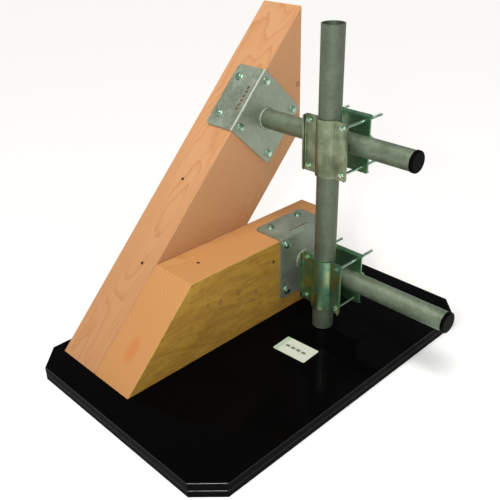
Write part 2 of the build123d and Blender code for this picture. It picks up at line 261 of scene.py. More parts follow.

    # the face turned to -Y is browner and darker, flecked with dark pores: partly a browner stain,
    # partly painted shade on that side
    if near_face_shading:
        side = add(
            tree,
            "ShaderNodeVectorMath",
            {0: facing.outputs["Normal"], 1: (0, -1, 0)},
            operation="DOT_PRODUCT",
        )
        near_face_shade_mask = add(
            tree,
            "ShaderNodeMapRange",
            {0: side.outputs["Value"], 1: 0.5, 2: 0.9, 3: 0.0, 4: near_face_shading},
            **SMOOTH,
        )
        figure = add(
            tree,
            "ShaderNodeTexNoise",
            {"Vector": cloud_place, "Scale": 1 / (25 * MM), "Detail": 5.0, "Roughness": 0.7},
        )
        shaded_stain = add(
            tree,
            "ShaderNodeValToRGB",
            {0: figure.outputs[0]},
            stops=[(0.3, "#a3781a"), (0.5, "#be9026"), (0.7, "#d1a538")],
        )
        late_faint = add(tree, "ShaderNodeMath", {0: late, 1: 0.25}, operation="MULTIPLY")
        marked_colour = add(tree, "ShaderNodeMix", {0: late_faint, 6: shaded_stain, 7: linear("#86621c")}, **COLOURS)
        fleck_place = add(
            tree, "ShaderNodeVectorMath", {0: turned, 1: (0.16, 1.0, 1.0)}, operation="MULTIPLY"
        )
        flecks = add(
            tree, "ShaderNodeTexNoise", {"Vector": fleck_place, "Scale": 1 / (3.5 * MM), "Detail": 3.0}
        )
        fleck = add(
            tree,
            "ShaderNodeMapRange",
            {0: flecks.outputs[0], 1: 0.54, 2: 0.68, 3: 0.0, 4: 0.45},
            **SMOOTH,
        )
        marked_colour = add(tree, "ShaderNodeMix", {0: fleck, 6: marked_colour, 7: linear("#6b4a15")}, **COLOURS)
        # painted shade: the -Y face takes the darker, browner colour
        colour = add(tree, "ShaderNodeMix", {0: near_face_shade_mask, 6: colour, 7: marked_colour}, **COLOURS)

    # resin bled out of the wood leaves warm orange patches along the grain
    for patch_x, patch_y, patch_z, patch_length, patch_width in resin:
        from_patch = add(
            tree,
            "ShaderNodeVectorMath",
            {0: turned, 1: (patch_x, patch_y, patch_z)},
            operation="SUBTRACT",
        )
        stretch = (1 / patch_length, 1 / patch_width, 1 / patch_length)
        squashed = add(tree, "ShaderNodeVectorMath", {0: from_patch, 1: stretch}, operation="MULTIPLY")
        rough_edge = add(
            tree,
            "ShaderNodeVectorMath",
            {0: clouds.outputs["Color"], 1: (1.4, 1.4, 1.4), 2: squashed},
            operation="MULTIPLY_ADD",
        )
        recentred = add(
            tree, "ShaderNodeVectorMath", {0: rough_edge, 1: (0.7, 0.7, 0.7)}, operation="SUBTRACT"
        )
        from_middle = add(tree, "ShaderNodeVectorMath", {0: recentred}, operation="LENGTH")
        soaked = add(
            tree,
            "ShaderNodeMapRange",
            {0: from_middle.outputs["Value"], 1: 0.3, 2: 1.2, 3: 0.7, 4: 0.0},
            **SMOOTH,
        )
        colour = add(tree, "ShaderNodeMix", {0: soaked, 6: colour, 7: linear("#d0733c")}, **COLOURS)

    if knot_mask is not None:
        knot_strength = add(tree, "ShaderNodeMath", {0: knot_mask, 1: 0.5}, operation="MULTIPLY")
        colour = add(
            tree, "ShaderNodeMix", {0: knot_strength, 6: colour, 7: linear("#8a5a26")}, **COLOURS
        )
        rim_strength = add(tree, "ShaderNodeMath", {0: knot_edge, 1: 0.3}, operation="MULTIPLY")
        colour = add(
            tree, "ShaderNodeMix", {0: rim_strength, 6: colour, 7: linear("#5f3b18")}, **COLOURS
        )

    # handling marks: small grey smudges; and the wood darker towards the foot, partly dirt and partly
    # painted shade near the board
    smudge = add(
        tree,
        "ShaderNodeTexNoise",
        {"Vector": turned, "Scale": 1 / (90 * MM), "Detail": 5.0, "Roughness": 0.7},
    )
    smudged = add(
        tree, "ShaderNodeMapRange", {0: smudge.outputs[0], 1: 0.62, 2: 0.8, 3: 0.0, 4: 0.25}, **SMOOTH
    )
    colour = add(tree, "ShaderNodeMix", {0: smudged, 6: colour, 7: linear("#8a6f52")}, **COLOURS)
    standing = add(tree, "ShaderNodeSeparateXYZ", {0: place})
    # painted shade, with dirt: the colour darkens towards the foot of the timbers
    foot_grime_and_shade = add(
        tree,
        "ShaderNodeMapRange",
        {0: standing.outputs["Z"], 1: 0.08, 2: 0.55, 3: 0.36, 4: 0.0},
        **SMOOTH,
    )
    colour = add(tree, "ShaderNodeMix", {0: foot_grime_and_shade, 6: colour, 7: linear("#7d5a35")}, **COLOURS)

    # dirt and glue caught in the seam between the timbers
    from_seam = add(tree, "ShaderNodeMath", {0: axes.outputs["Y"], 1: -seam}, operation="ADD")
    near_seam = add(tree, "ShaderNodeMath", {0: from_seam}, operation="ABSOLUTE")
    caught = add(
        tree, "ShaderNodeMapRange", {0: near_seam, 1: 0.5 * MM, 2: 4.5 * MM, 3: 0.6, 4: 0.0}, **SMOOTH
    )
    broken = add(
        tree, "ShaderNodeMapRange", {0: smudge.outputs[0], 1: 0.35, 2: 0.6, 3: 0.25, 4: 1.0}, **SMOOTH
    )
    across_seam = add(
        tree,
        "ShaderNodeVectorMath",
        {0: facing.outputs["Normal"], 1: (0, 1, 0)},
        operation="DOT_PRODUCT",
    )
    on_face = add(tree, "ShaderNodeMath", {0: across_seam.outputs["Value"]}, operation="ABSOLUTE")
    off_face = add(tree, "ShaderNodeMapRange", {0: on_face, 1: 0.1, 2: 0.5, 3: 1.0, 4: 0.0}, **SMOOTH)
    in_line = add(tree, "ShaderNodeMath", {0: caught, 1: off_face}, operation="MULTIPLY")
    seam_dirt = add(tree, "ShaderNodeMath", {0: in_line, 1: broken}, operation="MULTIPLY")
    colour = add(tree, "ShaderNodeMix", {0: seam_dirt, 6: colour, 7: linear("#8f5a34")}, **COLOURS)

    rough = add(tree, "ShaderNodeMapRange", {0: late, 1: 0.0, 2: 1.0, 3: 0.62, 4: 0.48}, **SMOOTH)

    height = add(
        tree, "ShaderNodeMath", {0: late, 1: 0.6, 2: fibres.outputs[0]}, operation="MULTIPLY_ADD"
    )
    bump = add(tree, "ShaderNodeBump", {"Strength": 0.35, "Distance": 0.25 * MM, "Height": height})
    sockets = {
        "Base Color": colour,
        "Roughness": rough,
        "IOR": 1.5,
        "Specular IOR Level": 0.35,
        "Normal": bump,
    }
    feed(tree, shader, sockets)
    return made


def hot_dip_galvanised(name, pale, grey, dark, spangle, roughness):
    """Hot-dip galvanised steel: dull grey zinc frozen in crystals of slightly different greys,
    with soft run marks, so that it looks mottled and a little blurred in its shine."""
    made, tree, shader, place = blank_material(name)
    warp = add(tree, "ShaderNodeTexNoise", {"Vector": place, "Scale": 1 / (11 * MM), "Detail": 2.0})
    warped = add(
        tree,
        "ShaderNodeVectorMath",
        {0: warp.outputs["Color"], 1: (0.006, 0.006, 0.006), 2: place},
        operation="MULTIPLY_ADD",
    )
    crystals = add(tree, "ShaderNodeTexVoronoi", {"Vector": warped, "Scale": 1 / spangle})
    crystal_tone = add(tree, "ShaderNodeSeparateColor", {0: crystals.outputs["Color"]})
    clouds = add(
        tree,
        "ShaderNodeTexNoise",
        {"Vector": place, "Scale": 1 / (62 * MM), "Detail": 6.0, "Roughness": 0.62},
    )
    mottle = add(
        tree,
        "ShaderNodeMath",
        {0: crystal_tone.outputs[0], 1: 0.22, 2: clouds.outputs[0]},
        operation="MULTIPLY_ADD",
    )
    colour = add(
        tree, "ShaderNodeValToRGB", {0: mottle}, stops=[(0.3, dark), (0.6, grey), (0.95, pale)]
    )
    grain = add(tree, "ShaderNodeTexNoise", {"Vector": place, "Scale": 1 / (1.5 * MM), "Detail": 2.0})
    specks = add(
        tree, "ShaderNodeMapRange", {0: grain.outputs[0], 1: 0.6, 2: 0.75, 3: 0.0, 4: 0.18}, **SMOOTH
    )
    speckled = add(tree, "ShaderNodeMix", {0: specks, 6: colour, 7: linear(dark)}, **COLOURS)
    bloom = add(
        tree,
        "ShaderNodeTexNoise",
        {"Vector": place, "Scale": 1 / (30 * MM), "Detail": 4.0, "Roughness": 0.75},
    )
    white_rust = add(
        tree, "ShaderNodeMapRange", {0: bloom.outputs[0], 1: 0.64, 2: 0.82, 3: 0.0, 4: 0.3}, **SMOOTH
    )
    weathered = add(tree, "ShaderNodeMix", {0: white_rust, 6: speckled, 7: linear(pale)}, **COLOURS)
    uneven = add(
        tree,
        "ShaderNodeMapRange",
        {0: mottle, 1: 0.4, 2: 1.0, 3: roughness - 0.1, 4: roughness + 0.12},
        **SMOOTH,
    )
    height = add(
        tree,
        "ShaderNodeMath",
        {0: grain.outputs[0], 1: 0.35, 2: clouds.outputs[0]},
        operation="MULTIPLY_ADD",
    )
    bump = add(tree, "ShaderNodeBump", {"Strength": 0.2, "Distance": 0.25 * MM, "Height": height})
    sockets = {
        "Base Color": weathered,
        "Metallic": 0.65,
        "Roughness": uneven,
        "Normal": bump,
    }
    feed(tree, shader, sockets)
    return made


def zinc_plated(name, bright, tint, dark, roughness):
    """Electroplated, passivated steel: smooth and bright, with a blue-green cast that drifts
    over the surface, and fine rubbed scratches."""
    made, tree, shader, place = blank_material(name)
    drift = add(
        tree,
        "ShaderNodeTexNoise",
        {"Vector": place, "Scale": 1 / (38 * MM), "Detail": 4.0, "Roughness": 0.55},
    )
    colour = add(
        tree,
        "ShaderNodeValToRGB",
        {0: drift.outputs[0]},
        stops=[(0.3, dark), (0.5, tint), (0.72, bright)],
    )
    # rubbing marks are finer than 1.1 mm, and are drawn that wide so that they show
    scratch_place = add(
        tree, "ShaderNodeMapping", {0: place, "Rotation": (0.3, 0.5, 0.2), "Scale": (1.0, 0.06, 0.06)}
    )
    scratches = add(
        tree, "ShaderNodeTexNoise", {"Vector": scratch_place, "Scale": 1 / (1.1 * MM), "Detail": 1.0}
    )
    rubbed = add(
        tree,
        "ShaderNodeMapRange",
        {0: scratches.outputs[0], 1: 0.62, 2: 0.72, 3: 0.0, 4: 0.35},
        **SMOOTH,
    )
    marked_colour = add(tree, "ShaderNodeMix", {0: rubbed, 6: colour, 7: linear(bright)}, **COLOURS)
    dulled = add(
        tree,
        "ShaderNodeMapRange",
        {0: drift.outputs[0], 1: 0.3, 2: 0.75, 3: roughness + 0.1, 4: roughness - 0.06},
        **SMOOTH,
    )
    press = add(tree, "ShaderNodeTexNoise", {"Vector": place, "Scale": 1 / (4.2 * MM), "Detail": 3.0})
    bump = add(
        tree, "ShaderNodeBump", {"Strength": 0.22, "Distance": 0.2 * MM, "Height": press.outputs[0]}
    )
    sockets = {
        "Base Color": marked_colour,
        "Metallic": 1.0,
        "Roughness": dulled,
        "Normal": bump,
    }
    feed(tree, shader, sockets)
    return made


def black_lacquer(name):
    """Sprayed gloss black lacquer on board: deep black and mirror-like, with a faint orange peel,
    a film of dust and hair-fine wiping marks."""
    made, tree, shader, place = blank_material(name)
    dust = add(
        tree,
        "ShaderNodeTexNoise",
        {"Vector": place, "Scale": 1 / (110 * MM), "Detail": 8.0, "Roughness": 0.7},
    )
    film = add(
        tree, "ShaderNodeMapRange", {0: dust.outputs[0], 1: 0.52, 2: 0.78, 3: 0.0, 4: 0.25}, **SMOOTH
    )
    motes = add(tree, "ShaderNodeTexVoronoi", {"Vector": place, "Scale": 1 / (7 * MM)})
    mote = add(
        tree,
        "ShaderNodeMapRange",
        {0: motes.outputs["Distance"], 1: 0.03, 2: 0.05, 3: 0.5, 4: 0.0},
        **SMOOTH,
    )
    dusty = add(tree, "ShaderNodeMix", {0: film, 6: linear("#040404"), 7: linear("#0a0908")}, **COLOURS)
    specked = add(tree, "ShaderNodeMix", {0: mote, 6: dusty, 7: linear("#1a1918")}, **COLOURS)
    wipe_place = add(
        tree, "ShaderNodeMapping", {0: place, "Rotation": (0, 0, 0.6), "Scale": (1.0, 0.04, 1.0)}
    )
    wipes = add(
        tree, "ShaderNodeTexNoise", {"Vector": wipe_place, "Scale": 1 / (2.4 * MM), "Detail": 2.0}
    )
    streaked = add(
        tree, "ShaderNodeMath", {0: wipes.outputs[0], 1: 0.1, 2: film}, operation="MULTIPLY_ADD"
    )
    rough = add(tree, "ShaderNodeMapRange", {0: streaked, 1: 0.0, 2: 0.4, 3: 0.1, 4: 0.26}, **SMOOTH)
    # cut edges drink the lacquer and stay dull; it rolls over their corners in a brighter bead
    facing = add(tree, "ShaderNodeNewGeometry")
    lean = add(tree, "ShaderNodeSeparateXYZ", {0: facing.outputs["Normal"]})
    upright = add(
        tree, "ShaderNodeMapRange", {0: lean.outputs["Z"], 1: 0.0, 2: 0.3, 3: 0.45, 4: 0.0}, **SMOOTH
    )
    duller = add(tree, "ShaderNodeMath", {0: rough, 1: upright}, operation="ADD")
    bead = add(tree, "ShaderNodeMath", {0: lean.outputs["Z"], 1: 0.5, 2: 0.3}, operation="COMPARE")
    thin_bead = add(tree, "ShaderNodeMath", {0: bead, 1: 0.6}, operation="MULTIPLY")
    peel = add(tree, "ShaderNodeTexNoise", {"Vector": place, "Scale": 1 / (6 * MM), "Detail": 2.0})
    bump = add(
        tree, "ShaderNodeBump", {"Strength": 0.05, "Distance": 0.1 * MM, "Height": peel.outputs[0]}
    )
    sockets = {
        "Base Color": specked,
        "Roughness": duller,
        "IOR": 1.45,
        "Specular IOR Level": 0.03,
        "Coat Weight": thin_bead,
        "Coat Roughness": 0.16,
        "Normal": bump,
    }
    feed(tree, shader, sockets)
    return made


def moulded_polyethylene(name):
    """Moulded black polyethylene: soft sheen with a fine moulded grain and pale scuffs."""
    made, tree, shader, place = blank_material(name)
    scuff = add(
        tree,
        "ShaderNodeTexNoise",
        {"Vector": place, "Scale": 1 / (8 * MM), "Detail": 6.0, "Roughness": 0.7},
    )
    scuffed = add(
        tree, "ShaderNodeMapRange", {0: scuff.outputs[0], 1: 0.6, 2: 0.78, 3: 0.0, 4: 0.5}, **SMOOTH
    )
    # the mould's grain is finer than 0.7 mm, and is drawn that coarse so that it shows
    grain = add(tree, "ShaderNodeTexNoise", {"Vector": place, "Scale": 1 / (0.7 * MM), "Detail": 1.0})
    bump = add(
        tree, "ShaderNodeBump", {"Strength": 0.2, "Distance": 0.1 * MM, "Height": grain.outputs[0]}
    )
    sockets = {
        "Base Color": add(
            tree, "ShaderNodeMix", {0: scuffed, 6: linear("#050404"), 7: linear("#14110f")}, **COLOURS
        ),
        "Roughness": 0.5,
        "IOR": 1.5,
        "Specular IOR Level": 0.03,
        "Normal": bump,
    }
    feed(tree, shader, sockets)
    return made


def dull_steel(name, colour, worn_colour):
    """Plain drawn steel left to dull: brown-grey, with brighter rubbed spots."""
    made, tree, shader, place = blank_material(name)
    rub = add(tree, "ShaderNodeTexNoise", {"Vector": place, "Scale": 1 / (3.3 * MM), "Detail": 4.0})
    rubbed = add(tree, "ShaderNodeMapRange", {0: rub.outputs[0], 1: 0.5, 2: 0.75}, **SMOOTH)
    bump = add(
        tree, "ShaderNodeBump", {"Strength": 0.2, "Distance": 0.1 * MM, "Height": rub.outputs[0]}
    )
    sockets = {
        "Base Color": add(
            tree, "ShaderNodeMix", {0: rubbed, 6: linear(colour), 7: linear(worn_colour)}, **COLOURS
        ),
        "Metallic": 0.8,
        "Roughness": 0.55,
        "Normal": bump,
    }
    feed(tree, shader, sockets)
    return made


def printed_card(name, middle, turn, width, length):
    """Satin label card: off-white stock with a faint fibre mottle, one row of plain dark dashes
    down its length and a pale green band at one end.  It says nothing."""
    made, tree, shader, place = blank_material(name)
    centred = add(tree, "ShaderNodeVectorMath", {0: place, 1: middle}, operation="SUBTRACT")
    turned = add(
        tree, "ShaderNodeMapping", {0: centred, "Rotation": (0, 0, -turn)}, vector_type="POINT"
    )
    axes = add(tree, "ShaderNodeSeparateXYZ", {0: turned})
    dash_gap = length / 6
    steps = add(tree, "ShaderNodeMath", {0: axes.outputs["Y"], 1: dash_gap}, operation="DIVIDE")
    phase = add(tree, "ShaderNodeMath", {0: steps}, operation="FRACT")
    dash = add(tree, "ShaderNodeMath", {0: phase, 1: 0.5, 2: 0.36}, operation="COMPARE")
    row = add(
        tree, "ShaderNodeMath", {0: axes.outputs["X"], 1: 0.0, 2: width * 0.07}, operation="COMPARE"
    )
    end = add(
        tree, "ShaderNodeMath", {0: axes.outputs["Y"], 1: 0.0, 2: length * 0.33}, operation="COMPARE"
    )
    dashes = add(tree, "ShaderNodeMath", {0: dash, 1: row}, operation="MULTIPLY")
    ink = add(tree, "ShaderNodeMath", {0: dashes, 1: end}, operation="MULTIPLY")
    band = add(
        tree, "ShaderNodeMath", {0: axes.outputs["Y"], 1: length * 0.36}, operation="GREATER_THAN"
    )
    fibres = add(tree, "ShaderNodeTexNoise", {"Vector": place, "Scale": 1 / (3.8 * MM), "Detail": 5.0})
    stock = add(
        tree, "ShaderNodeValToRGB", {0: fibres.outputs[0]}, stops=[(0.3, "#b7bcad"), (0.7, "#d0d4c8")]
    )
    thin_band = add(tree, "ShaderNodeMath", {0: band, 1: 0.6}, operation="MULTIPLY")
    banded = add(tree, "ShaderNodeMix", {0: thin_band, 6: stock, 7: linear("#8fae90")}, **COLOURS)
    thin_ink = add(tree, "ShaderNodeMath", {0: ink, 1: 0.8}, operation="MULTIPLY")
    inked = add(tree, "ShaderNodeMix", {0: thin_ink, 6: banded, 7: linear("#3f4440")}, **COLOURS)
    bump = add(
        tree, "ShaderNodeBump", {"Strength": 0.15, "Distance": 0.05 * MM, "Height": fibres.outputs[0]}
    )
    sockets = {
        "Base Color": inked,
        "Roughness": 0.55,
        "Normal": bump,
    }
    feed(tree, shader, sockets)
    return made


# ---------------------------------------------------------------- camera, floor and light
CAMERA_PLACE = (-0.9662, -0.9730, 0.9862)
CAMERA_HEADING = radians(44.12)
CAMERA_DIP = radians(28.31)
CAMERA_ROLL = radians(-1.15)
CAMERA_LENS = 51.21

camera_data = bpy.data.cameras.new("camera")
camera_data.lens = CAMERA_LENS
camera_data.sensor_width = 36
camera_data.clip_end = 200
camera = bpy.data.objects.new("camera", camera_data)
aim = Matrix.Rotation(-CAMERA_HEADING, 4, "Z") @ Matrix.Rotation(pi / 2 - CAMERA_DIP, 4, "X")
camera.matrix_world = Matrix.Translation(CAMERA_PLACE) @ aim @ Matrix.Rotation(CAMERA_ROLL, 4, "Z")
scene.collection.objects.link(camera)
scene.camera = camera

scene.view_settings.view_transform = "Standard"
scene.view_settings.look = "None"


def studio_floor():
    """A pale, even paper floor under the stand."""
    made, tree, shader = blank_material("studio_paper")[:3]
    sockets = {
        "Base Color": linear("#fbfcfd"),
        "Roughness": 0.9,
        "Specular IOR Level": 0.1,
    }
    feed(tree, shader, sockets)
    floor_half = 60.0

    def build(shape):
        bmesh.ops.create_grid(shape, x_segments=1, y_segments=1, size=floor_half)

    floor = new_mesh("studio_floor", made, build)


def soft_light(name, place, target, size, power, colour):
    """A square lamp at place, turned to its target."""
    lamp = bpy.data.lights.new(name, "AREA")
    lamp.shape = "SQUARE"
    lamp.size = size
    lamp.energy = power
    lamp.color = linear(colour)[:3]
    made = bpy.data.objects.new(name, lamp)
    made.location = place
    made.rotation_euler = (Vector(target) - Vector(place)).to_track_quat("-Z", "Y").to_euler()
    scene.collection.objects.link(made)


studio_floor()
middle = (cad_low + cad_high) / 2
soft_light("near_light", (-1.27, -0.98, 1.1), middle, 0.16, 11, "#f6fff4")
soft_light("fill_light", (-1.2, -2.8, 1.6), middle, 2.4, 17, "#f4f8ff")
key = bpy.data.lights.new("key_light", "SUN")
key.energy = 2.35
key.angle = 0.6
key.color = linear("#fff9f1")[:3]
key_light = bpy.data.objects.new("key_light", key)
key_light.rotation_euler = Vector((0.9, 0.15, -2.7)).to_track_quat("-Z", "Y").to_euler()
scene.collection.objects.link(key_light)
world = bpy.data.worlds.new("studio")
world.use_nodes = True
world.node_tree.nodes["Background"].inputs["Color"].default_value = linear("#e9ecef")
world.node_tree.nodes["Background"].inputs["Strength"].default_value = 0.36
scene.world = world


# ---------------------------------------------------------------- materials on the CAD pieces
rafter_low, rafter_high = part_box("rafter")
tie_low, tie_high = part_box("tie_beam")
rafter_pitch = atan2(rafter_high.z - rafter_low.z, rafter_high.x - rafter_low.x)
heel = Vector((rafter_low.x, rafter_low.y, rafter_low.z))


def across_rafter(depth):
    """z in the rafter's turned section, at a depth under its sloping face."""
    return -heel.x * sin(rafter_pitch) + heel.z * cos(rafter_pitch) - depth


def side_point(away, height, size):
    """A knot on the rafter's side, given level distance from its foot and height over the board."""
    level, rise = heel.x + away, heel.z + height
    turned_x = level * cos(rafter_pitch) + rise * sin(rafter_pitch)
    turned_z = rise * cos(rafter_pitch) - level * sin(rafter_pitch)
    return turned_x, turned_z, size


rafter_knots = [
    side_point(0.640, 0.498, 0.006),
    side_point(0.305, 0.150, 0.005),
]
tie_knots = [
    (tie_low.x + 0.262, tie_low.z + 0.114, 0.006),
    (tie_low.x + 0.317, tie_low.z + 0.115, 0.007),
    (tie_low.x + 0.227, tie_low.z + 0.122, 0.0045),
    (tie_low.x + 0.373, tie_low.z + 0.092, 0.005),
]
rafter_pith_z = across_rafter(0.16)
SPRUCE_TONES = ("#cf996d", "#c78e60", "#bd8355")
TIE_TONES = ("#d89d63", "#d09258", "#c3854c")
rafter_spruce = planed_spruce(
    "planed_spruce_rafter",
    rafter_pitch,
    (rafter_low.y + 0.035, rafter_pith_z),
    SPRUCE_TONES,
    rafter_knots,
    rafter_low.y,
)
patch_height = tie_low.z + 0.062
tie_spruce = planed_spruce(
    "planed_spruce_tie",
    0.0,
    (tie_high.y + 0.03, tie_low.z + 0.05),
    TIE_TONES,
    tie_knots,
    tie_high.y,
    resin=[(tie_low.x + 0.061, tie_low.y + 0.056, patch_height, 0.034, 0.017)],
    near_face_shading=0.92,
)
lacquer = black_lacquer("gloss_black_lacquer")
# the mast's tones are darker than the arm tubes': painted shade on the upright tube
mast_zinc = hot_dip_galvanised("galvanised_mast", "#727d6b", "#606a59", "#515a4a", 4 * MM, 0.56)
plate_zinc = hot_dip_galvanised("galvanised_plate", "#aab3a2", "#969f8f", "#828b7b", 6 * MM, 0.5)
tube_zinc = hot_dip_galvanised("galvanised_tube", "#8b9885", "#76836f", "#636f5c", 4 * MM, 0.56)
# the upper front saddle's tones lean brown: painted reflection of the timbers in its plating
grey_saddle_zinc = zinc_plated("zinc_plated_grey_saddle", "#96a287", "#7c866c", "#606c55", 0.38)
olive_saddle_zinc = zinc_plated("zinc_plated_olive_saddle", "#b6c08c", "#7ea583", "#558570", 0.36)
# the rear saddles are passivated green, lightened as painted light on plates that stand in shade
green_saddle_zinc = zinc_plated("zinc_plated_green_saddle", "#a9c9a6", "#74a27f", "#528266", 0.38)
bolt_zinc = zinc_plated("zinc_plated_bolt", "#d3ead8", "#a8c2ae", "#7f9a86", 0.26)
cap_plastic = moulded_polyethylene("black_polyethylene")
nail_steel = dull_steel("dull_nail_steel", "#5a3d28", "#7d5f45")

LEVELS = ("upper", "lower")
paint(rafter_spruce, "rafter")
paint(tie_spruce, "tie_beam")
paint(lacquer, "base_top_board", "base_lower_board")
paint(nail_steel, "face_nails", "heel_screws", "base_screws")
paint(mast_zinc, "mast_tube")
for level in LEVELS:
    paint(plate_zinc, f"{level}_bracket_plate")
    paint(tube_zinc, f"{level}_arm_tube")
    paint(cap_plastic, f"{level}_arm_cap")
    paint(bolt_zinc, f"{level}_clamp_washers")
    paint(green_saddle_zinc, f"{level}_rear_saddle")
paint(grey_saddle_zinc, "upper_front_saddle")
paint(olive_saddle_zinc, "lower_front_saddle")


# ---------------------------------------------------------------- hexagon heads
def hexagon_reach(angle, across_corners):
    """Distance from a hexagon's centre to its side at an angle."""
    sector = pi / 3
    flat = across_corners / 2 * cos(sector / 2)
    return flat / cos((angle % sector) - sector / 2)


def hexagon_head(shape, across_corners, height, hole=0.0, both_ends=False):
    """A hexagon with its corners turned off at 30 degrees, standing on z = 0 along +Z.
    With a hole it is a nut, countersunk at both mouths."""
    steps = 48
    chamfer_share, mouth_share = 0.86, 1.14
    chamfer_from = across_corners / 2 * chamfer_share
    hole_mouth = hole * mouth_share
    rings = []
    for step in range(steps):
        angle = 2 * pi * step / steps
        reach = hexagon_reach(angle, across_corners)
        drop = max(0.0, reach - chamfer_from) * tan(pi / 6)
        flat_to = min(reach, chamfer_from)
        foot, foot_to = (drop, flat_to) if both_ends else (0.0, reach)
        outline = [(foot_to, 0.0), (reach, foot), (reach, height - drop), (flat_to, height)]
        if hole:
            mouth = hole_mouth - hole
            bore = [(hole_mouth, height), (hole, height - mouth), (hole, mouth)]
            outline = [(hole_mouth, 0.0)] + outline + bore
        direction = Vector((cos(angle), sin(angle), 0))
        rings.append([shape.verts.new(direction * r + Vector((0, 0, z))) for r, z in outline])
    count = len(rings[0])
    sides = count if hole else count - 1
    for step in range(steps):
        near, far = rings[step], rings[(step + 1) % steps]
        for i in range(sides):
            j = (i + 1) % count
            shape.faces.new((near[i], far[i], far[j], near[j]))
    if not hole:
        shape.faces.new([ring[-1] for ring in rings])
        shape.faces.new([ring[0] for ring in reversed(rings)])
    bmesh.ops.remove_doubles(shape, verts=shape.verts, dist=1e-7)
    bmesh.ops.recalc_face_normals(shape, faces=shape.faces)


def template(name, build):
    """A small shape that a Geometry Nodes tree repeats."""
    return new_mesh(name, bolt_zinc, build)


# ---------------------------------------------------------------- Geometry Nodes trees
def new_tree(name, sizes=()):
    """A tree that sets a shape on points, with the inputs that both need and its own sizes."""
    tree = bpy.data.node_groups.new(name, "GeometryNodeTree")
    inputs = {"Points": "Geometry", "Shape": "Object", "Turn": "Vector", "Finish": "Material"}
    for size in sizes:
        inputs[size] = "Float"
    for title, kind in inputs.items():
        tree.interface.new_socket(title, in_out="INPUT", socket_type=f"NodeSocket{kind}")
    tree.interface.new_socket("Geometry", in_out="OUTPUT", socket_type="NodeSocketGeometry")
    given = add(tree, "NodeGroupInput").outputs
    shape = add(tree, "GeometryNodeObjectInfo", {"Object": given["Shape"]}, transform_space="ORIGINAL")
    return tree, given, shape.outputs["Geometry"]


def set_on_points(tree, given, shape):
    """Ends a tree: the shape on every point, turned by Turn, made real and given its finish."""
    turn = add(tree, "FunctionNodeEulerToRotation", {0: given["Turn"]})
    placed = add(
        tree,
        "GeometryNodeInstanceOnPoints",
        {"Points": given["Points"], "Instance": shape, "Rotation": turn.outputs[0]},
    )
    real = add(tree, "GeometryNodeRealizeInstances", {0: placed.outputs[0]})
    finished = add(
        tree, "GeometryNodeSetMaterial", {"Geometry": real.outputs[0], "Material": given["Finish"]}
    )
    add(tree, "NodeGroupOutput", {0: finished.outputs[0]})
    return tree


